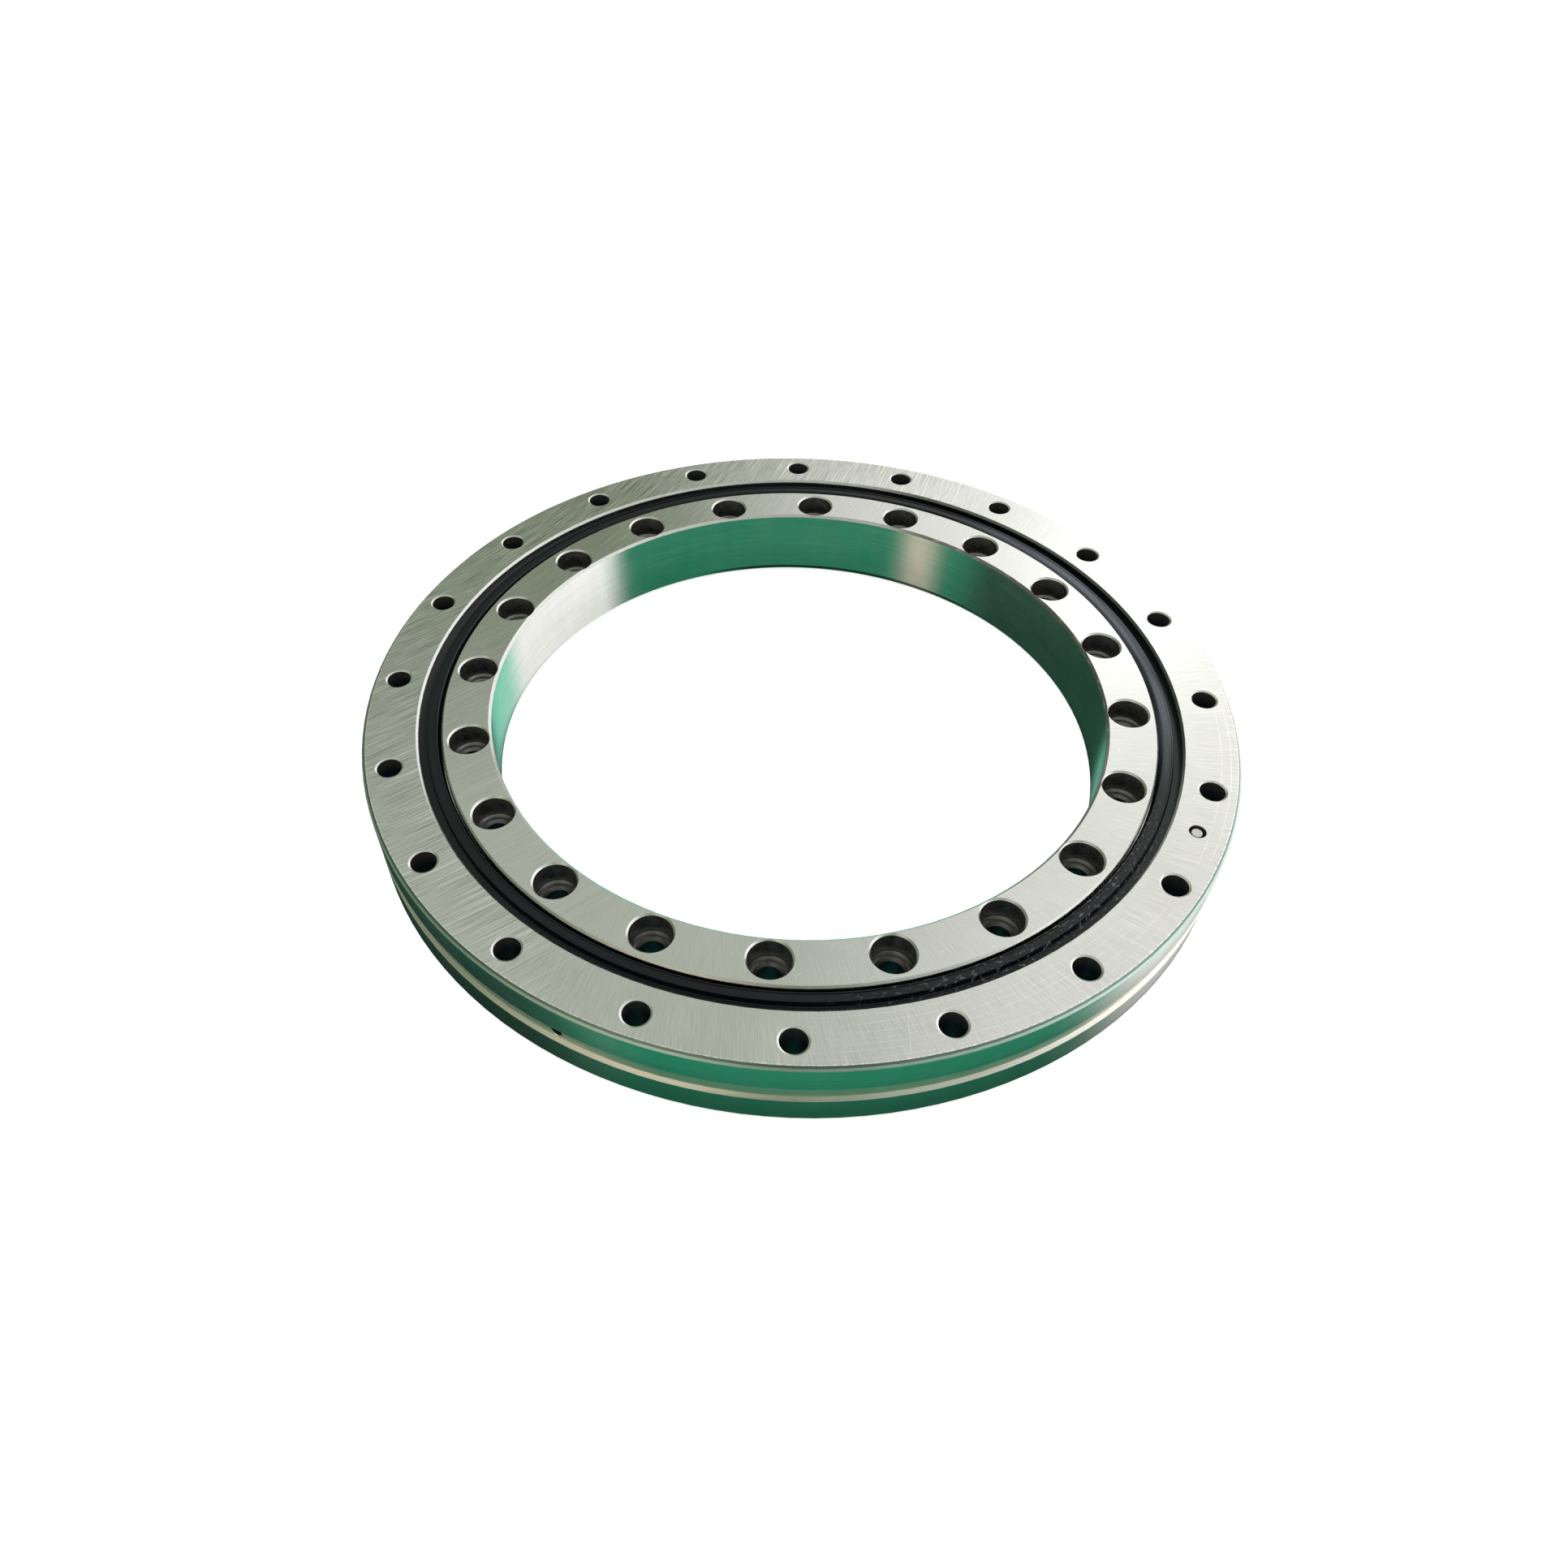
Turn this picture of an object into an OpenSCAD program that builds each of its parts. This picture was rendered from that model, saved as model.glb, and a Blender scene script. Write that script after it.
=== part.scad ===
// Crossed-roller slewing ring bearing with a bolted, ungeared outer ring and
// a counterbored inner ring. Millimetres. +Z is the axis of rotation, the
// origin is on that axis in the plane of the outer ring's bottom face.

/* [Outer ring] */
// Outside diameter of the outer ring
outer_d = 404; // [380:1:430]
// Height of the outer ring
outer_h = 38; // [34:1:44]
// Chamfer on the outside edges
outer_chamfer = 1.6; // [0.5:0.1:3]
// Width of the lubrication groove at the outside surface
groove_w = 9.2; // [6:0.2:12]
// Depth of the lubrication groove
groove_d = 1.5; // [0.5:0.1:2.5]
// Pitch circle of the outer bolt holes
outer_pcd = 380; // [370:1:390]
// Number of outer bolt holes
outer_bolts = 20; // [12:1:30]
// Diameter of the plain bolt holes in both rings
bolt_hole_d = 11; // [9:0.5:13.5]

/* [Inner ring] */
// Bore of the inner ring
bore_d = 287; // [280:1:292]
// Chamfer on both edges of the bore
bore_chamfer = 1.2; // [0.5:0.1:2.5]
// How far both inner ring faces lie below the outer ring faces
face_step = 1; // [0:0.1:2]
// Pitch circle of the inner bolt holes
inner_pcd = 308; // [306:0.5:310]
// Number of inner bolt holes
inner_bolts = 20; // [12:1:30]
// Rotation of the inner bolt circle against the outer one, in degrees
inner_turn = -3.56; // [-9:0.01:9]
// Counterbore diameter for the screw heads
cbore_d = 18; // [15:0.5:19]
// Counterbore depth below the inner ring's face
cbore_depth = 12; // [8:0.5:14]

/* [Raceway and rollers] */
// Pitch diameter of the roller set
race_pitch_d = 343.2; // [340:0.2:346]
// Roller diameter
roller_d = 14; // [10:0.5:15]
// Roller length
roller_l = 13.6; // [9:0.1:14.6]
// Number of rollers, leaning alternately to either side
roller_count = 48; // [24:2:48]
// Gap between a roller and the raceways
race_gap = 0.25; // [0.2:0.05:0.5]
// Gap between a roller and the saddle of a spacer
saddle_gap = 0.2; // [0.15:0.05:0.5]

/* [Seals] */
// Radius of the seal recess wall in the outer ring
seal_wall_r = 176.6; // [175:0.1:178]
// Depth of the seal recess below the outer ring's face
seal_recess = 7; // [5:0.5:8]
// Radius of the inner ring's wall beside the seal
inner_wall_r = 166.5; // [165:0.1:168]

/* [Filling plug, pin and lubrication hole] */
// Diameter of the plug in the roller filling hole
plug_d = 16; // [15:0.5:20]
// Direction of the filling hole, in degrees from +X
plug_angle = -26; // [-180:1:180]
// Distance of the taper pin from the axis
pin_r = 188; // [184:0.5:192]
// Diameter of the taper pin's upper end
pin_d = 5; // [4:0.5:6]
// Diameter of the opening over the pin
pin_opening_d = 7; // [6:0.5:9]
// Depth of the opening over the pin
pin_opening_depth = 4; // [2:0.5:6]
// Diameter of the lubrication hole's mouth, in the groove
lube_d = 5; // [3:0.5:6]
// Depth of the mouth from the outside surface
lube_depth = 12; // [8:0.5:15]
// Diameter of the drilling from the mouth to the raceway
lube_feed_d = 3; // [2:0.5:4]
// Direction of the lubrication hole, in degrees from +X
lube_angle = -117; // [-180:1:180]

/* [Hidden] */

$fn = 160;
eps = 0.1;
mid = outer_h / 2;                    // height of the raceway's centre
ro = outer_d / 2;
rb = bore_d / 2;
rp = race_pitch_d / 2;
apex = (roller_d / 2 + race_gap) * sqrt(2);  // centre of the V to its apex
relief_h = 0.9;                       // half height of the apex relief
relief_d = 0.55;                      // how far the relief passes the apex
land = 1.2;                           // raceway land to the pitch radius
zi0 = face_step;                      // inner ring's bottom face
zi1 = outer_h - face_step;            // inner ring's top face
zr0 = seal_recess;                    // recess floors
zr1 = outer_h - seal_recess;
pitch_a = 360 / roller_count;
pin_top = outer_h - 0.8;
pin_bottom = 9;
pin_taper = 1 / 50;

function roller_name(i) = str("roller_", i < 10 ? "0" : "", i);

// ---- profiles: [radius, height] ----

function outer_profile() = [
    [seal_wall_r + 1, 0], [ro - outer_chamfer, 0], [ro, outer_chamfer],
    [ro, mid - groove_w / 2], [ro - groove_d, mid - groove_w / 2 + groove_d],
    [ro - groove_d, mid + groove_w / 2 - groove_d], [ro, mid + groove_w / 2],
    [ro, outer_h - outer_chamfer], [ro - outer_chamfer, outer_h],
    [seal_wall_r + 1, outer_h], [seal_wall_r, outer_h - 1],
    [seal_wall_r, zr1], [rp + land, zr1],
    [rp + land, mid + apex - land], [rp + apex - relief_h, mid + relief_h],
    [rp + apex + relief_d, mid + relief_h],
    [rp + apex + relief_d, mid - relief_h],
    [rp + apex - relief_h, mid - relief_h], [rp + land, mid - apex + land],
    [rp + land, zr0], [seal_wall_r, zr0], [seal_wall_r, 1]];

function inner_profile() = [
    [rb + bore_chamfer, zi0], [inner_wall_r - 1, zi0], [inner_wall_r, zi0 + 1],
    [inner_wall_r, zr0], [rp - land, zr0],
    [rp - land, mid - apex + land], [rp - apex + relief_h, mid - relief_h],
    [rp - apex - relief_d, mid - relief_h],
    [rp - apex - relief_d, mid + relief_h],
    [rp - apex + relief_h, mid + relief_h], [rp - land, mid + apex - land],
    [rp - land, zr1], [inner_wall_r, zr1],
    [inner_wall_r, zi1 - 1], [inner_wall_r - 1, zi1],
    [rb + bore_chamfer, zi1], [rb, zi1 - bore_chamfer],
    [rb, zi0 + bore_chamfer]];

// Seal section. h is the height above the recess floor.
function seal_profile() = [for (p = [
    [seal_wall_r + 0.04, 0], [seal_wall_r + 0.04, 3],
    [173.5, 3], [173.2, 3.2], [172.75, 5.1], [172.6, 5.6],
    [172.1, 5.6], [172.0, 5.25],
    [169.0, 5.25], [168.85, 5.6], [168.35, 5.6], [168.0, 5.25],
    [167.05, 3.3], [167.0, 2.8], [168.4, 2.5], [170.1, 3.0],
    [171.4, 2.0], [173.4, 0]]) p];

// Lubrication hole: [radius, distance outwards from its inner end]
function lube_profile() = let (
    m = ro - lube_depth - rp - 5,
    g = ro - groove_d - 0.4 - rp - 5,
    point = (lube_d - lube_feed_d) / 2 / tan(59))
    [[0, 0], [lube_feed_d / 2, 0], [lube_feed_d / 2, m - point], [lube_d / 2, m],
     [lube_d / 2, g], [lube_d / 2 + 0.8, g + 0.8], [lube_d / 2 + 0.8, g + 6], [0, g + 6]];

function flip(p, up) = [for (q = p) [q[0], up ? zr1 + q[1] : zr0 - q[1]]];

// ---- shared shapes ----

module ring(profile) {
    rotate_extrude($fn = 256) polygon(profile);
}

// Plain through hole, its rims broken w wide and c deep
module bolt_hole(d, z0, z1, w, c) {
    k = (c + eps) / c;
    translate([0, 0, z0 - 1]) cylinder(d = d, h = z1 - z0 + 2);
    translate([0, 0, z0 - eps]) cylinder(d1 = d + 2 * w * k, d2 = d, h = c + eps);
    translate([0, 0, z1 - c]) cylinder(d1 = d, d2 = d + 2 * w * k, h = c + eps);
}

// Counterbored hole for a socket head screw, entered from the top face
module counterbored_hole() {
    floor_z = zi1 - cbore_depth;
    translate([0, 0, zi0 - 1]) cylinder(d = bolt_hole_d, h = outer_h);
    translate([0, 0, zi0 - eps])
        cylinder(d1 = bolt_hole_d + 2 * (0.4 + eps), d2 = bolt_hole_d, h = 0.4 + eps);
    // floor, its corner and the countersink round the through hole
    translate([0, 0, floor_z - 1.2])
        cylinder(d1 = bolt_hole_d, d2 = bolt_hole_d + 2.4, h = 1.2);
    translate([0, 0, floor_z]) cylinder(d1 = cbore_d - 2, d2 = cbore_d, h = 1);
    translate([0, 0, floor_z + 1]) cylinder(d = cbore_d, h = cbore_depth);
    translate([0, 0, zi1 - 0.8])
        cylinder(d1 = cbore_d, d2 = cbore_d + 2 * (0.8 + eps), h = 0.8 + eps);
}

// Taper pin body, g larger all round
module pin_cone(z0, z1, g) {
    r_at_top = pin_d / 2 + g;
    translate([0, 0, z0])
        cylinder(r1 = r_at_top - (pin_top - z0) * pin_taper / 2,
                 r2 = r_at_top - (pin_top - z1) * pin_taper / 2, h = z1 - z0);
}

module at_pin() { rotate([0, 0, plug_angle]) translate([pin_r, 0, 0]) children(); }

// Cylinder of the roller filling hole, along the radius
module filling_cylinder() {
    rotate([0, 0, plug_angle]) translate([rp - 3, 0, mid])
        rotate([0, 90, 0]) cylinder(d = plug_d, h = ro - rp + 6);
}

// Cylinder on a roller's axis. i counts from 1.
module on_roller_axis(i) {
    rotate([0, 0, (i - 1) * pitch_a]) translate([rp, 0, mid])
        rotate([0, i % 2 == 1 ? 45 : -45, 0]) children();
}

module roller_solid() {
    c = 0.5;
    r = roller_d / 2;
    l = roller_l / 2;
    rotate_extrude($fn = 96)
        polygon([[0, -l], [r - c, -l], [r, -l + c], [r, l - c], [r - c, l], [0, l]]);
}

// Diamond block that stands between rollers i and i + 1
module spacer(i) {
    side = roller_d - 0.4;
    difference() {
        rotate([0, 0, (i - 0.5) * pitch_a]) translate([rp, 0, mid])
            rotate([0, 45, 0]) cube([side, 14, side], center = true);
        on_roller_axis(i) cylinder(d = roller_d + 2 * saddle_gap, h = 40, center = true);
        on_roller_axis(i + 1) cylinder(d = roller_d + 2 * saddle_gap, h = 40, center = true);
    }
}

// ---- sub-parts ----

module outer_ring() {
    color([0.66, 0.68, 0.64]) difference() {
        ring(outer_profile());
        for (k = [0 : outer_bolts - 1])
            rotate([0, 0, 90 - k * 360 / outer_bolts]) translate([outer_pcd / 2, 0, 0])
                bolt_hole(bolt_hole_d, 0, outer_h, 0.85, 0.45);
        filling_cylinder();
        at_pin() {
            pin_cone(pin_bottom - 0.3, pin_top, 0);
            translate([0, 0, outer_h - pin_opening_depth])
                cylinder(d = pin_opening_d, h = pin_opening_depth + 1);
            translate([0, 0, outer_h - 0.2])
                cylinder(d1 = pin_opening_d, d2 = pin_opening_d + 0.4 + 2 * eps, h = 0.2 + eps);
        }
        rotate([0, 0, lube_angle]) translate([rp + 5, 0, mid]) rotate([0, 90, 0])
            rotate_extrude() polygon(lube_profile());
    }
}

module inner_ring() {
    color([0.68, 0.69, 0.66]) difference() {
        ring(inner_profile());
        for (k = [0 : inner_bolts - 1])
            rotate([0, 0, 90 + inner_turn - k * 360 / inner_bolts])
                translate([inner_pcd / 2, 0, 0]) counterbored_hole();
    }
}

module upper_seal() { color([0.17, 0.20, 0.21]) ring(flip(seal_profile(), true)); }

module lower_seal() { color([0.17, 0.20, 0.21]) ring(flip(seal_profile(), false)); }

module filling_plug() {
    color([0.64, 0.66, 0.63]) difference() {
        intersection() {
            ring(outer_profile());
            filling_cylinder();
        }
        at_pin() pin_cone(pin_bottom - 0.3, pin_top, 0);
    }
}

module taper_pin() {
    color([0.55, 0.56, 0.55]) at_pin() {
        pin_cone(pin_bottom, pin_top - 0.3, 0);
        translate([0, 0, pin_top - 0.3])
            cylinder(r1 = pin_d / 2 - 0.003, r2 = pin_d / 2 - 0.303, h = 0.3);
    }
}

module spacers() {
    color([0.86, 0.83, 0.74]) for (i = [1 : roller_count]) spacer(i);
}

module roller(i) {
    color([0.78, 0.79, 0.80]) on_roller_axis(i) roller_solid();
}

outer_ring();
inner_ring();
upper_seal();
lower_seal();
filling_plug();
taper_pin();
spacers();
for (i = [1 : roller_count])
    roller(i);
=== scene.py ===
"""Looks of a slewing ring bearing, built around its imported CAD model. Everything is in metres in the row frame."""

import math

import bpy
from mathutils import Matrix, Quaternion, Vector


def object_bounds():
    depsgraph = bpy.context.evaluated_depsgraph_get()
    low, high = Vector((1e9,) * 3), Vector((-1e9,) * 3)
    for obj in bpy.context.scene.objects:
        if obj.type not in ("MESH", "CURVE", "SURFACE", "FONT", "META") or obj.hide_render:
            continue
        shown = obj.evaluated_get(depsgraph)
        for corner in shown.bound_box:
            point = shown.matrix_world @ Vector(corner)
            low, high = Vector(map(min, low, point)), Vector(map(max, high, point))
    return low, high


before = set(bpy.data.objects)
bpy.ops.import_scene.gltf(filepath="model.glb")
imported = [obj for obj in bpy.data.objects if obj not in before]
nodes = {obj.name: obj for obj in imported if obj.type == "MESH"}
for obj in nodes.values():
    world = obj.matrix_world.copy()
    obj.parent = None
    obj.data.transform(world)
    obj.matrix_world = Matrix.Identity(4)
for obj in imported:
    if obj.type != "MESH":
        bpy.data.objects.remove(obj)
cad_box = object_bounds()

# ---------------------------------------------------------------- helpers


def lin(c):
    """sRGB 0..255 to linear."""
    c = c / 255.0
    return c / 12.92 if c <= 0.04045 else ((c + 0.055) / 1.055) ** 2.4


def rgb(r, g, b):
    return (lin(r), lin(g), lin(b), 1.0)


class Graph:
    """Short names for making nodes and links."""

    def __init__(self, tree):
        self.tree = tree
        tree.nodes.clear()

    def add(self, kind, **props):
        n = self.tree.nodes.new(kind)
        for k, v in props.items():
            setattr(n, k, v)
        return n

    def put(self, socket, value):
        if isinstance(value, bpy.types.NodeSocket):
            self.tree.links.new(value, socket)
        elif value is not None:
            socket.default_value = value

    def math(self, op, a, b=None, c=None, clamp=False):
        n = self.add("ShaderNodeMath", operation=op, use_clamp=clamp)
        for i, v in enumerate((a, b, c)):
            if v is not None:
                self.put(n.inputs[i], v)
        return n.outputs[0]

    def add_(self, a, b):
        return self.math("ADD", a, b)

    def sub(self, a, b):
        return self.math("SUBTRACT", a, b)

    def mul(self, a, b):
        return self.math("MULTIPLY", a, b)

    def madd(self, a, b, c):
        return self.math("MULTIPLY_ADD", a, b, c)

    def vmath(self, op, a, b=None, scale=None):
        n = self.add("ShaderNodeVectorMath", operation=op)
        self.put(n.inputs[0], a)
        if b is not None:
            self.put(n.inputs[1], b)
        if scale is not None:
            self.put(n.inputs["Scale"], scale)
        return n.outputs["Value" if op in ("LENGTH", "DOT_PRODUCT", "DISTANCE") else "Vector"]

    def xyz(self, x, y, z=0.0):
        n = self.add("ShaderNodeCombineXYZ")
        for s, v in zip(n.inputs, (x, y, z)):
            self.put(s, v)
        return n.outputs[0]

    def split(self, v):
        n = self.add("ShaderNodeSeparateXYZ")
        self.put(n.inputs[0], v)
        return n.outputs

    def noise(self, vec, scale=1.0, detail=2.0, rough=0.5, dist=0.0):
        n = self.add("ShaderNodeTexNoise", noise_dimensions="3D")
        self.put(n.inputs["Vector"], vec)
        self.put(n.inputs["Scale"], scale)
        self.put(n.inputs["Detail"], detail)
        self.put(n.inputs["Roughness"], rough)
        self.put(n.inputs["Distortion"], dist)
        return n.outputs["Fac"]

    def step(self, v, a, b, lo=0.0, hi=1.0, smooth=True):
        n = self.add("ShaderNodeMapRange", interpolation_type="SMOOTHSTEP" if smooth else "LINEAR")
        for i, x in enumerate((v, a, b, lo, hi)):
            self.put(n.inputs[i], x)
        return n.outputs[0]

    def mix(self, fac, a, b):
        n = self.add("ShaderNodeMix", data_type="RGBA")
        self.put(n.inputs[0], fac)
        self.put(n.inputs[6], a)
        self.put(n.inputs[7], b)
        return n.outputs[2]

    def mixf(self, fac, a, b):
        n = self.add("ShaderNodeMix", data_type="FLOAT")
        self.put(n.inputs[0], fac)
        self.put(n.inputs[2], a)
        self.put(n.inputs[3], b)
        return n.outputs[0]

    def ramp(self, fac, stops, how="LINEAR"):
        n = self.add("ShaderNodeValToRGB")
        n.color_ramp.interpolation = how
        e = n.color_ramp.elements
        while len(e) > 1:
            e.remove(e[-1])
        e[0].position, e[0].color = stops[0]
        for p, c in stops[1:]:
            e.new(p).color = c
        self.put(n.inputs[0], fac)
        return n.outputs["Color"]

    def scale_colour(self, colour, f):
        return self.vmath("SCALE", colour, scale=f)


# ---------------------------------------------------------------- surroundings

STEEL_F = 0.62  # what clean steel gives back
TOP = 2.0  # the ramps hold colours divided by this


def seen(r, g, b):
    """Radiance that shows as this sRGB colour in clean steel."""
    return tuple(lin(c) / STEEL_F / TOP for c in (r, g, b)) + (1.0,)


# Soft surroundings in eight colours: green low down, a bright side at the right, olive grey behind
GREEN, DEEP, MINT = (30, 120, 90), (25, 65, 50), (100, 205, 175)
WHITE, PALE, GREY = (250, 250, 245), (215, 215, 210), (165, 170, 160)
OLIVE, WARM = (110, 120, 100), (190, 185, 165)

# Elevation of each band in degrees, and its colours by azimuth from +X
BANDS = [
    (-90, [(0, GREEN)]),
    (-56, [(-170, DEEP), (-140, GREEN), (0, GREEN), (30, WHITE), (60, WHITE), (100, DEEP), (150, DEEP)]),
    (-36, [(-170, DEEP), (-150, GREEN), (-138, WARM), (-125, GREEN), (-20, GREEN), (-5, WHITE), (42, WHITE), (60, MINT), (84, MINT), (100, DEEP)]),
    (-10, [(-170, OLIVE), (-30, OLIVE), (-10, WHITE), (60, WHITE), (95, OLIVE)]),
    (20, [(-170, OLIVE), (-118, WARM), (-88, OLIVE), (-50, GREY), (-15, WHITE), (62, WHITE), (95, OLIVE)]),
    (35, [(-170, OLIVE), (-118, WARM), (-88, OLIVE), (-50, GREY), (0, WHITE), (72, WHITE), (84, PALE), (98, OLIVE)]),
    (47, [(-90, GREY), (0, PALE), (66, PALE), (90, GREY), (110, GREY)]),
    (90, [(0, GREY)]),
]

world = bpy.data.worlds.new("studio")
bpy.context.scene.world = world
world.use_nodes = True
world.cycles.sampling_method = "NONE"
g = Graph(world.node_tree)
direction = g.add("ShaderNodeTexCoord").outputs["Generated"]
dx, dy, dz = g.split(g.vmath("NORMALIZE", direction))
azimuth = g.madd(g.math("ARCTAN2", dy, dx), 1 / (2 * math.pi), 0.5)
elevation = g.mul(g.math("ARCSINE", dz), 180 / math.pi)


def band(stops):
    if len(stops) == 1:
        return seen(*stops[0][1])
    stops = sorted(stops)
    (a0, c0), (a1, c1) = stops[-1], stops[0]
    gap = a1 + 360 - a0
    t = (180 - a0) / gap
    edge = tuple(c0[k] + (c1[k] - c0[k]) * t for k in range(3))
    full = [(-180, edge)] + [s for s in stops if s[0] > -180] + [(180, edge)]
    return g.ramp(azimuth, [((a + 180) / 360, seen(*c)) for a, c in full], "EASE")


sky = band(BANDS[0][1])
for (e0, _), (e1, stops) in zip(BANDS, BANDS[1:]):
    sky = g.mix(g.step(elevation, e0, e1), sky, band(stops))
# a bright window, low behind the right side
wx, wy, wz = (math.cos(math.radians(36)) * math.cos(math.radians(70)), math.cos(math.radians(36)) * math.sin(math.radians(70)), math.sin(math.radians(36)))
near = g.vmath("DOT_PRODUCT", g.vmath("NORMALIZE", direction), (wx, wy, wz))
window = g.math("EXPONENT", g.mul(g.sub(near, 1.0), 480.0))
sky = g.vmath("ADD", sky, g.vmath("SCALE", (1.0, 1.0, 1.02), scale=g.mul(window, 0.35)))
path = g.add("ShaderNodeLightPath")
reflected = g.add("ShaderNodeBackground")
g.put(reflected.inputs["Color"], sky)
g.put(reflected.inputs["Strength"], TOP)
plain = g.add("ShaderNodeBackground")
g.put(plain.inputs["Color"], (1.0, 1.0, 1.0, 1.0))
g.put(plain.inputs["Strength"], 1.0)
either = g.add("ShaderNodeMixShader")
g.put(either.inputs[0], path.outputs["Is Glossy Ray"])
g.put(either.inputs[1], plain.outputs[0])
g.put(either.inputs[2], reflected.outputs[0])
g.put(g.add("ShaderNodeOutputWorld").inputs["Surface"], either.outputs[0])

# Floor: pale, lit evenly. Reflections look past it to the surroundings, dimmed close to the ring as in its shadow.
mesh = bpy.data.meshes.new("floor")
s = 12.0
mesh.from_pydata([(-s, -s, 0), (s, -s, 0), (s, s, 0), (-s, s, 0)], [], [(0, 1, 2, 3)])
floor = bpy.data.objects.new("floor", mesh)
floor.location = (0, 0, cad_box[0].z - 0.0002)
bpy.context.scene.collection.objects.link(floor)
mat = bpy.data.materials.new("floor_white")
mat.use_nodes = True
g = Graph(mat.node_tree)
d = g.add("ShaderNodeBsdfDiffuse")
g.put(d.inputs["Color"], (0.80, 0.80, 0.80, 1))
glow = g.add("ShaderNodeEmission")
g.put(glow.inputs["Color"], (1, 1, 1, 1))
g.put(glow.inputs["Strength"], 0.62)
both = g.add("ShaderNodeAddShader")
g.put(both.inputs[0], d.outputs[0])
g.put(both.inputs[1], glow.outputs[0])
under = g.add("ShaderNodeMixShader")
g.put(under.inputs[0], g.add("ShaderNodeNewGeometry").outputs["Backfacing"])
g.put(under.inputs[1], both.outputs[0])
g.put(under.inputs[2], g.add("ShaderNodeBsdfTransparent").outputs[0])
fx, fy, fz = g.split(g.vmath("SCALE", g.add("ShaderNodeTexCoord").outputs["Object"], scale=1000.0))
fr = g.math("SQRT", g.madd(fx, fx, g.mul(fy, fy)))
out = g.mul(g.step(fr, 205.0, 222.0, 0.4, 1.0), g.step(fr, 201.0, 203.6, 0.12, 1.0))
inside = g.mul(g.step(fr, 136.0, 104.0, 0.8, 1.0), g.step(fr, 143.6, 140.5, 0.25, 1.0))
dim = g.mixf(g.math("GREATER_THAN", fr, 172.0), inside, out)
under_ring = g.mul(g.math("GREATER_THAN", fr, 144.6), g.math("LESS_THAN", fr, 200.3))
dim = g.mixf(under_ring, dim, 1.0)
shade = g.add("ShaderNodeBsdfTransparent")
g.put(shade.inputs[0], g.xyz(dim, dim, dim))
final = g.add("ShaderNodeMixShader")
g.put(final.inputs[0], g.add("ShaderNodeLightPath").outputs["Is Glossy Ray"])
g.put(final.inputs[1], under.outputs[0])
g.put(final.inputs[2], shade.outputs[0])
g.put(g.add("ShaderNodeOutputMaterial").inputs["Surface"], final.outputs[0])
mesh.materials.append(mat)

# Camera at the picture's viewing angle
cam_data = bpy.data.cameras.new("camera")
cam_data.lens = 27.072
cam_data.sensor_width = 36
cam_data.shift_x = 0.03818
cam_data.shift_y = 0.01408
cam_data.clip_start, cam_data.clip_end = 0.01, 60
cam = bpy.data.objects.new("camera", cam_data)
cam.location = (-0.01226383, -0.41571306, 0.41457980)
cam.rotation_mode = "QUATERNION"
cam.rotation_quaternion = Quaternion((0.93304113, 0.35900868, 0.01169378, 0.02025528))
bpy.context.scene.collection.objects.link(cam)
bpy.context.scene.camera = cam
bpy.context.scene.view_settings.view_transform = "Standard"
bpy.context.scene.view_settings.look = "None"

# ---------------------------------------------------------------- materials


def start(name):
    m = bpy.data.materials.new(name)
    m.use_nodes = True
    return m, Graph(m.node_tree)


def finish_material(g, colour, rough, normal=None, metallic=0.0, aniso=0.0, turn=0.0, tangent=None, specular=0.5, coat=0.0, sheen=0.0):
    p = g.add("ShaderNodeBsdfPrincipled")
    g.put(p.inputs["Base Color"], colour)
    g.put(p.inputs["Roughness"], rough)
    p.inputs["Metallic"].default_value = metallic
    p.inputs["Anisotropic"].default_value = aniso
    p.inputs["Anisotropic Rotation"].default_value = turn
    p.inputs["Specular IOR Level"].default_value = specular
    p.inputs["Coat Weight"].default_value = coat
    p.inputs["Sheen Weight"].default_value = sheen
    if normal is not None:
        g.put(p.inputs["Normal"], normal)
    if tangent is not None:
        g.put(p.inputs["Tangent"], tangent)
    g.put(g.add("ShaderNodeOutputMaterial").inputs["Surface"], p.outputs[0])


def place(g):
    """x, y, z in millimetres, radius, and angle round the axis in radians."""
    c = g.vmath("SCALE", g.add("ShaderNodeTexCoord").outputs["Object"], scale=1000.0)
    x, y, z = g.split(c)
    r = g.math("SQRT", g.madd(x, x, g.mul(y, y)))
    return c, x, y, z, r, g.math("ARCTAN2", y, x)


def soft_edges(g, radius):
    """Normals rounded at the edges, as a deburred edge has."""
    n = g.add("ShaderNodeBevel", samples=4)
    n.inputs["Radius"].default_value = radius
    return n.outputs[0]


def bump(g, height, distance, strength=1.0, edge=0.0):
    n = g.add("ShaderNodeBump")
    if edge:
        g.put(n.inputs["Normal"], soft_edges(g, edge))
    n.inputs["Strength"].default_value = strength
    n.inputs["Distance"].default_value = distance
    g.put(n.inputs["Height"], height)
    return n.outputs[0]


def around(g):
    return g.add("ShaderNodeTangent", direction_type="RADIAL", axis="Z").outputs[0]


def grey(g, value, tint=(1.0, 1.0, 1.0)):
    return g.xyz(*(g.mul(value, t) for t in tint))


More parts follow.
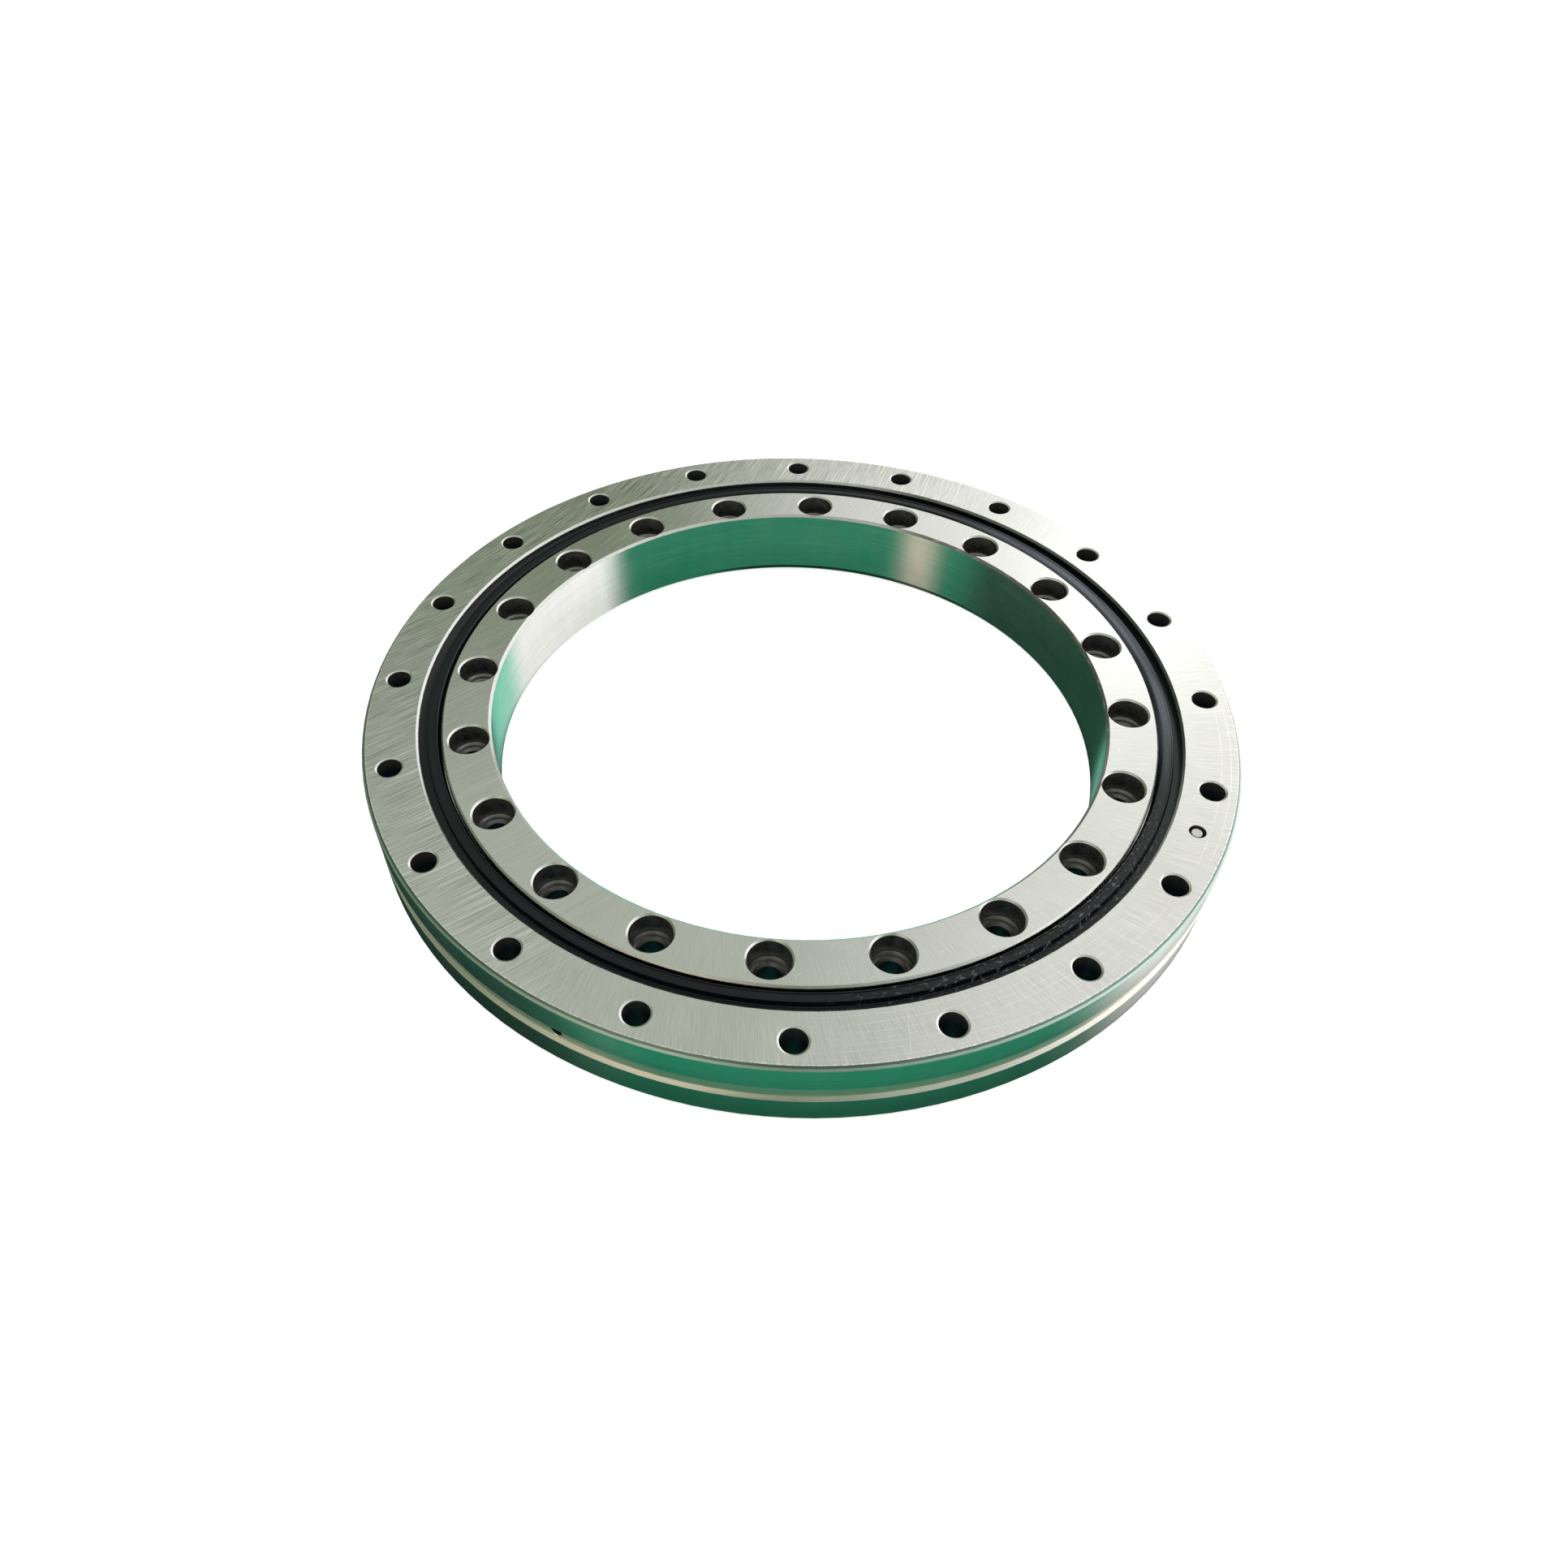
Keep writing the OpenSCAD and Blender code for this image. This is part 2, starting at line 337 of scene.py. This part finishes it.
def face_steel(name, base=0.63, rough=0.175, front=0.30, back=1.3, inner=False):
    """Surface ground flat faces: fine near-radial lines at the front and right, wide arcs behind, a few long scratches.
    The lines are real grinding marks, but which family shows and how strongly, set by side, is painted sheen. Unless
    inner, the face also has a painted highlight along its outer edge.
    """
    m, g = start(name)
    c, x, y, z, r, th = place(g)
    # painted sheen: this side mask picks which grinding lines show and how strongly, standing in for where they catch
    # the light
    side = g.step(g.math("COSINE", g.add_(th, math.radians(30))), -0.16, 0.16)
    # lines of family A, a little off the radial direction
    tilt = math.tan(math.radians(10))
    across_a = g.mul(g.sub(th, g.mul(g.math("LOGARITHM", r, math.e), tilt)), 260.0)
    # family B, circles about a far point
    bx, by = g.add_(x, 511.0), g.sub(y, 383.0)
    across_b = g.math("SQRT", g.madd(bx, bx, g.mul(by, by)))
    along_b = g.mul(g.math("ARCTAN2", by, bx), 500.0)
    fine_a = g.noise(g.xyz(across_a, g.mul(r, 0.06), 0.0), 1.2, 2.0, 0.65)
    fine_b = g.noise(g.xyz(g.mul(across_b, 2.1), g.mul(along_b, 0.04), 7.0), 1.0, 2.0, 0.7)
    amount = g.mixf(side, back, front)
    fine = g.mul(g.sub(g.mixf(side, fine_b, fine_a), 0.5), amount)
    # sparse stronger lines
    deep_a = g.step(g.noise(g.xyz(across_a, g.mul(r, 0.02), 3.0), 0.6, 1.0, 0.5), 0.68, 0.78, 0.0, 0.35)
    cross_b = g.noise(g.xyz(g.madd(along_b, 0.5, g.mul(across_b, 0.9)), g.mul(across_b, 0.02), 11.0), 1.0, 1.0, 0.5)
    deep_b = g.math("MAXIMUM", g.step(g.noise(g.xyz(across_b, g.mul(along_b, 0.02), 5.0), 0.9, 1.0, 0.5), 0.64, 0.74), g.step(cross_b, 0.68, 0.76, 0.0, 0.5))
    deep = g.mixf(side, deep_b, deep_a)
    if inner:
        deep = g.mul(deep, 0.35)
        fleck = g.noise(g.xyz(g.mul(across_b, 1.7), g.mul(along_b, 0.22), 9.0), 1.0, 1.0, 0.5)
        deep = g.math("MAXIMUM", deep, g.step(fleck, 0.70, 0.78, 0.0, 0.8))
    # long concentric marks at the front right
    wobble = g.noise(g.xyz(g.mul(r, 0.14), g.mul(th, 1.6), 2.0), 1.0, 1.0, 0.5)
    arc = g.math("COSINE", g.mul(g.madd(wobble, 6.0, r), 2 * math.pi / 3.1))
    where = g.step(g.math("COSINE", g.add_(th, math.radians(64))), 0.86, 0.99)
    broken = g.step(g.noise(g.xyz(g.mul(r, 0.5), g.mul(th, 12.0), 6.0), 1.0, 3.0, 0.7), 0.28, 0.56)
    arcs = g.mul(g.mul(g.step(arc, 0.93, 0.99), where), broken)
    if inner:
        arcs = g.mul(arcs, 0.3)
    else:
        two = g.math("MAXIMUM", g.step(g.math("ABSOLUTE", g.sub(r, 193.0)), 0.34, 0.1), g.step(g.math("ABSOLUTE", g.sub(r, 197.1)), 0.34, 0.1))
        for turn_deg, lean in ((-77.2, 0.0011), (-60.5, -0.0016)):
            off = g.math("ABSOLUTE", g.sub(g.madd(r, lean, th), math.radians(turn_deg) + lean * 190))
            arcs = g.math("MAXIMUM", arcs, g.mul(g.step(off, 0.0014, 0.0004, 0.0, 0.75), g.math("LESS_THAN", r, 199.0)))
        arcs = g.math("MAXIMUM", arcs, g.mul(g.mul(two, g.step(g.math("COSINE", g.add_(th, math.radians(16))), 0.95, 0.985)), broken))
    cloud = g.noise(c, 0.035, 3.0, 0.55)
    speck = g.step(g.noise(c, 1.7, 1.0, 0.5), 0.76, 0.82)
    tone = g.add_(fine, base)
    tone = g.madd(deep, 0.19, tone)
    tone = g.madd(arcs, 0.10, tone)
    tone = g.madd(speck, 0.18, tone)
    tone = g.madd(g.sub(cloud, 0.5), 0.08, tone)
    if not inner:
        # painted highlight: a broken bright line along the outer edge of the top face, standing in for the edge
        # catching the light
        edge = g.mul(g.step(r, 199.7, 200.1), g.step(g.noise(g.xyz(g.mul(th, 120.0), 0.0, 5.0), 1.0, 2.0, 0.6), 0.42, 0.6))
        tone = g.madd(edge, 0.32, tone)
    tone = g.math("MINIMUM", g.math("MAXIMUM", tone, 0.2), 0.95)
    colour = grey(g, tone, (1.0, 1.0, 0.985))
    ro = g.madd(fine, 0.35, rough)
    ro = g.madd(g.sub(cloud, 0.5), 0.08, ro)
    ro = g.math("MINIMUM", g.math("MAXIMUM", ro, 0.12), 0.5)
    h = g.add_(g.mul(fine, 1.6), g.mul(g.math("MAXIMUM", deep, arcs), 0.5))
    finish_material(g, colour, ro, bump(g, h, 0.000028, edge=0.00022), metallic=1.0, aniso=0.35, tangent=around(g))
    return m


def turned_steel(name, base=0.62, rough=0.22, aniso=0.72, pitch=0.5, lines=0.30, height=0.000004, tint=(1.0, 1.0, 0.99), wear=0.0, edge=0.0003, painted_edge_shade=0.0, painted_foot_shade=0.0, painted_chamfer_shade=0.0):
    """Cylindrical and conical faces: fine lines round the ring, faint upright stains, random nicks. Optional painted
    shade darkens the ends of the outside chamfers (with a pinkish tint at their right), the foot of the bore on the far
    side and the chamfers at the right.
    """
    m, g = start(name)
    c, x, y, z, r, th = place(g)
    run = g.mul(th, 30.0)
    fine = g.noise(g.xyz(g.mul(run, 0.12), g.math("DIVIDE", z, pitch), g.math("DIVIDE", r, pitch)), 1.0, 3.0, 0.6)
    broad = g.noise(g.xyz(g.mul(run, 0.05), g.mul(z, 0.35), g.mul(r, 0.35)), 1.0, 2.0, 0.5)
    stain = g.noise(g.xyz(g.mul(run, 0.8), g.mul(z, 0.03), 0.0), 1.0, 3.0, 0.55)
    cloud = g.noise(c, 0.06, 3.0, 0.55)
    tone = g.madd(g.sub(fine, 0.5), lines, base)
    tone = g.madd(g.sub(broad, 0.5), 0.10, tone)
    tone = g.madd(g.sub(stain, 0.5), 0.10, tone)
    if wear:
        nick = g.step(g.noise(c, 0.9, 2.0, 0.6), 0.60, 0.72)
        tone = g.madd(nick, -wear, tone)
    if painted_edge_shade:
        # painted shade: darker bands at the top and bottom ends of the chamfer, standing in for the edge reflecting
        # something dark
        rim = g.step(g.math("ABSOLUTE", g.sub(z, 19.0)), 18.05, 18.4)
        tone = g.mul(tone, g.madd(rim, -painted_edge_shade, 1.0))
        right = g.step(g.math("COSINE", g.sub(th, math.radians(35))), 0.55, 0.85)
    if painted_foot_shade:
        # painted shade: a darker strip low on the far side of the bore, standing in for shadow near the floor
        foot_shade = g.mul(g.step(z, 4.2, 3.5), g.step(g.math("COSINE", g.sub(th, math.radians(78))), 0.80, 0.93))
        tone = g.mul(tone, g.madd(foot_shade, -painted_foot_shade, 1.0))
    if painted_chamfer_shade:
        # painted shade: patchy darkening of the bore chamfers on the right side, and a stronger darkening of the outer
        # ring's inner chamfer there
        chamfer_shade = g.mul(g.step(g.math("COSINE", g.sub(th, math.radians(28))), 0.70, 0.86), g.step(r, 147.0, 146.0))
        chamfer_shade = g.mul(chamfer_shade, g.step(g.noise(g.xyz(g.mul(run, 0.6), g.mul(z, 0.8), 3.0), 1.0, 3.0, 0.6), 0.30, 0.46))
        tone = g.mul(tone, g.madd(chamfer_shade, -painted_chamfer_shade, 1.0))
        shaded = g.mul(g.step(g.math("COSINE", g.sub(th, math.radians(28))), 0.60, 0.80), g.step(r, 175.0, 176.0))
        tone = g.mul(tone, g.madd(shaded, -0.72, 1.0))
    colour = grey(g, tone, tint)
    # the right side of these chamfers gets a pinkish tint
    if painted_edge_shade:
        colour = g.mix(right, colour, grey(g, tone, (1.0, 0.84, 0.84)))
    ro = g.madd(g.sub(fine, 0.5), 0.14, rough)
    ro = g.madd(g.sub(cloud, 0.5), 0.12, ro)
    ro = g.math("MAXIMUM", ro, 0.08)
    finish_material(g, colour, ro, bump(g, g.add_(fine, g.mul(broad, 0.5)), height, edge=edge), metallic=1.0, aniso=aniso, turn=0.25, tangent=around(g))
    return m


def bored_steel(name, base=0.30, rough=0.38, height=0.00001, tint=(1.0, 0.98, 0.94), deep_shade_tint=(1.0, 0.98, 0.94), deep=(30.0, 20.0), metallic=1.0):
    """Walls and floors of drilled holes: tool rings, random oily mottling, and a darker tone deeper down that is
    painted shade of the hole.
    """
    m, g = start(name)
    c, x, y, z, r, th = place(g)
    rings = g.noise(g.xyz(g.mul(x, 0.15), g.mul(y, 0.15), g.mul(z, 2.4)), 1.0, 2.0, 0.5)
    oil = g.noise(c, 0.35, 3.0, 0.6)
    tone = g.madd(g.sub(rings, 0.5), base * 0.5, base)
    tone = g.madd(g.sub(oil, 0.5), base * 0.8, tone)
    # painted shade: a darker tone deeper down in the hole
    down = g.step(z, *deep)
    colour = g.mix(down, grey(g, tone, tint), grey(g, tone, deep_shade_tint))
    ro = g.madd(g.sub(oil, 0.5), 0.25, rough)
    finish_material(g, colour, ro, bump(g, rings, height), metallic=metallic)
    return m


def rubber(name):
    m, g = start(name)
    c, x, y, z, r, th = place(g)
    mould = g.noise(g.xyz(g.mul(th, 6.0), g.mul(r, 2.2), g.mul(z, 2.2)), 1.0, 2.0, 0.5)
    skin = g.noise(c, 1.8, 3.0, 0.6)
    dust = g.step(g.noise(c, 0.9, 4.0, 0.7), 0.66, 0.80)
    # lighter grey streaks, only on the front right of the seal
    where = g.step(g.math("COSINE", g.add_(th, math.radians(52))), 0.80, 0.995)
    light_streaks = g.mul(g.step(g.noise(g.xyz(g.mul(th, 60.0), g.mul(r, 0.9), 4.0), 1.0, 2.0, 0.6), 0.56, 0.70), where)
    film = g.noise(g.xyz(g.mul(th, 3.0), g.mul(r, 0.3), 0.0), 1.0, 3.0, 0.55)
    base = g.mix(g.step(film, 0.35, 0.7), rgb(2, 7, 13), rgb(7, 14, 24))
    base = g.mix(g.mul(dust, 0.12), base, rgb(120, 124, 122))
    base = g.mix(g.mul(light_streaks, 0.35), base, rgb(170, 172, 170))
    # painted sheen: a lighter blue-grey band on the inner part of the seal at the right, standing in for the seal
    # reflecting a bright window
    painted_sheen = g.mul(g.step(g.math("COSINE", g.sub(th, math.radians(20))), 0.74, 0.97), g.step(film, 0.30, 0.55, 0.35, 1.0))
    base = g.mix(g.mul(g.mul(painted_sheen, g.step(r, 173.4, 172.2)), 0.42), base, rgb(128, 134, 144))
    ro = g.madd(g.sub(skin, 0.5), 0.20, 0.30)
    ro = g.math("MAXIMUM", g.madd(g.math("MAXIMUM", dust, light_streaks), 0.2, ro), 0.2)
    finish_material(g, base, ro, bump(g, g.add_(mould, g.mul(skin, 0.6)), 0.00002), specular=0.30)
    return m


def pin_steel(name):
    m, g = start(name)
    c, x, y, z, r, th = place(g)
    flat = g.noise(g.vmath("MULTIPLY", c, (2.5, 0.5, 0.4)), 1.0, 3.0, 0.6)
    tone = g.madd(g.sub(flat, 0.5), 0.4, 0.52)
    finish_material(g, grey(g, tone, (1.0, 1.0, 0.98)), g.madd(flat, 0.2, 0.28), bump(g, flat, 0.00001), metallic=1.0)
    return m


def roller_steel(name):
    m, g = start(name)
    c, x, y, z, r, th = place(g)
    fine = g.noise(c, 3.0, 3.0, 0.6)
    oil = g.noise(c, 0.25, 3.0, 0.6)
    tone = g.madd(g.sub(fine, 0.5), 0.10, g.madd(g.sub(oil, 0.5), 0.12, 0.62))
    finish_material(g, grey(g, tone, (1.0, 0.99, 0.96)), g.madd(g.sub(oil, 0.5), 0.12, 0.16), bump(g, fine, 0.000002), metallic=1.0)
    return m


def spacer_plastic(name):
    m, g = start(name)
    c, x, y, z, r, th = place(g)
    grain = g.noise(c, 2.5, 3.0, 0.6)
    flow = g.noise(c, 0.3, 3.0, 0.6, 0.4)
    base = g.mix(g.step(flow, 0.35, 0.65), rgb(206, 198, 172), rgb(222, 216, 194))
    finish_material(g, base, g.madd(g.sub(grain, 0.5), 0.2, 0.45), bump(g, grain, 0.00002))
    return m


M = {
    "face": face_steel("ground_face"),
    "inner_face": face_steel("ground_inner_face", rough=0.17, front=0.20, back=0.42, inner=True),
    "od": turned_steel("outside_steel", rough=0.17),
    "bore": turned_steel("bore_steel", rough=0.16, lines=0.22, painted_foot_shade=0.82),
    "chamfer": turned_steel("chamfer_steel", base=0.58, rough=0.22, aniso=0.3, pitch=0.3, wear=0.10, edge=0.0007, painted_chamfer_shade=0.62),
    # the green tint of the outside chamfers is a painted reflection of green surroundings; the steel itself is bare
    "od_chamfer": turned_steel("outside_chamfer_steel", base=0.64, rough=0.28, aniso=0.3, pitch=0.3, tint=(0.70, 0.92, 0.87), wear=0.08, edge=0.0005, painted_edge_shade=0.6),
    "groove": turned_steel("groove_steel", base=0.70, rough=0.33, aniso=0.5, pitch=0.35, lines=0.4, height=0.00001, tint=(1.05, 1.0, 0.92)),
    "flank": turned_steel("groove_flank_steel", base=0.69, rough=0.24, aniso=0.4, pitch=0.3, lines=0.35, height=0.000008, tint=(1.04, 1.0, 0.94), wear=0.06),
    "race": turned_steel("raceway_steel", base=0.58, rough=0.18, aniso=0.5, pitch=0.4, lines=0.15),
    # the holes' dark base tone and their dark bluish tone deeper down are painted shade; so is the counterbores' darker
    # tone deeper down
    "hole": bored_steel("hole_steel", base=0.12, rough=0.40, tint=(1.0, 0.92, 0.86), deep_shade_tint=(0.34, 0.58, 0.82), deep=(35.5, 29.0), metallic=0.80),
    "cbore": bored_steel("counterbore_steel", base=0.33, rough=0.30, tint=(1.0, 0.96, 0.93), deep_shade_tint=(0.50, 0.49, 0.49), deep=(28.0, 25.2), metallic=0.96),
    "rim": turned_steel("rim_steel", base=0.64, rough=0.25, aniso=0.0, pitch=0.3, wear=0.1),
    "rubber": rubber("seal_rubber"),
    "pin": pin_steel("pin_steel"),
    "roller": roller_steel("roller_steel"),
    "spacer": spacer_plastic("spacer_plastic"),
}


def paint(node, pick, order):
    """Gives each face of a CAD node one of the materials in order."""
    me = nodes[node].data
    me.materials.clear()
    for k in order:
        me.materials.append(M[k])
    index = {k: i for i, k in enumerate(order)}
    for p in me.polygons:
        x, y, z = (v * 1000 for v in p.center)
        r = math.hypot(x, y)
        nr = (p.normal.x * x + p.normal.y * y) / max(r, 1e-6)
        p.material_index = index[pick(x, y, z, r, nr, p.normal.z)]


def outer_pick(x, y, z, r, nr, nz):
    if z > 37.95 or z < 0.05:
        return "face"
    if 183.0 < r < 197.0 and (z > 37.1 or z < 0.9) and 0.3 < abs(nz) < 0.95:
        return "rim"
    if r > 201.8 and nr > 0.95:
        return "od"
    if r > 200.2 and nr > 0.5 and abs(nz) > 0.3 and (z > 36 or z < 2):
        return "od_chamfer"
    if r > 200.0 and nr > 0.95:
        return "groove"
    if r > 200.0 and 13 < z < 25 and nr > 0.5:
        return "flank"
    if 183.5 < r < 201:
        return "hole"
    if r > 176.3 and (z > 30.5 or z < 7.5) and (nr < -0.5):
        return "chamfer"
    return "race"


def inner_pick(x, y, z, r, nr, nz):
    if z > 36.95 or z < 1.05:
        return "inner_face"
    if r < 143.8 and nr < -0.9:
        return "bore"
    if r < 144.9 and nr < -0.5:
        return "chamfer"
    if r > 165 and (z > 35.9 or z < 2.1) and nr > 0.5 and abs(nz) > 0.3:
        return "chamfer"
    if r > 163.5:
        return "race"
    if z > 36.1 and abs(nz) > 0.3:
        return "rim"
    if z < 1.5 and abs(nz) > 0.3:
        return "rim"
    if z > 23.7:
        return "cbore"
    return "hole"


paint("outer_ring", outer_pick, ["face", "od", "chamfer", "od_chamfer", "groove", "flank", "rim", "hole", "race"])
paint("inner_ring", inner_pick, ["inner_face", "bore", "chamfer", "rim", "cbore", "hole", "race"])
paint("filling_plug", outer_pick, ["face", "od", "chamfer", "od_chamfer", "groove", "flank", "rim", "hole", "race"])
for name, key in (("upper_seal", "rubber"), ("lower_seal", "rubber"), ("taper_pin", "pin"), ("spacers", "spacer")):
    paint(name, lambda *a, k=key: k, [key])
for name in nodes:
    if name.startswith("roller_"):
        paint(name, lambda *a: "roller", ["roller"])
